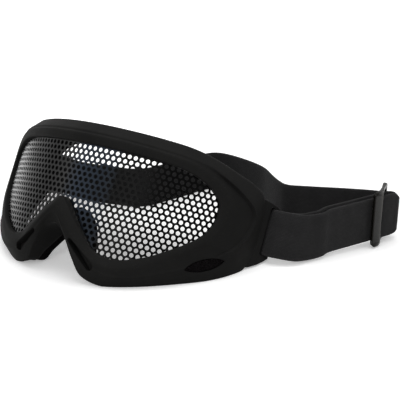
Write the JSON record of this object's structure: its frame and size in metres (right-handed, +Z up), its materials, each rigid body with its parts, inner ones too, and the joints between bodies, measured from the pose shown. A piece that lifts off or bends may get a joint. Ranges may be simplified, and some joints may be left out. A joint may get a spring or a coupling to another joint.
{
  "type": "mesh eye guard",
  "caption": "Wrap-around eye guard with a perforated metal lens in a soft moulded frame, foam-lined, with an elastic head strap and a sliding adjuster.",
  "frame": {"origin": "middle of the whole part's footprint, on the surface it rests on", "axes": "+X to the wearer's left, along the width; +Y from the lens back towards the face and strap; +Z up"},
  "size_m": [0.218, 0.1574, 0.0719],
  "materials": {
    "frame": "fine moulded texture, soft sheen",
    "mesh": "perforated sheet, bright at glancing angles",
    "foam": "open-cell foam",
    "strap": "woven elastic webbing",
    "slider": "dark satin coating"
  },
  "bodies": {
    "goggles": {"frame": "frame", "mesh_lens": "mesh", "face_foam": "foam", "vent_foam_lower_left": "foam", "vent_foam_lower_right": "foam", "vent_foam_upper_left": "foam", "vent_foam_upper_right": "foam", "strap_inner_run": "strap", "strap_near_loop": "strap", "strap_outer_run": "strap", "strap_fold": "strap", "strap_far_run_near": "strap", "strap_far_run_middle": "strap", "strap_far_run_far": "strap", "strap_far_loop": "strap"},
    "slider": {"slider": "slider"}
  },
  "joints": [
    {"name": "slider_adjust", "type": "slide", "parent": "goggles", "child": "slider", "axis": [0.4743, 0.8799, 0.0305], "range_m": [-0.018, 0.002]}
  ]
}
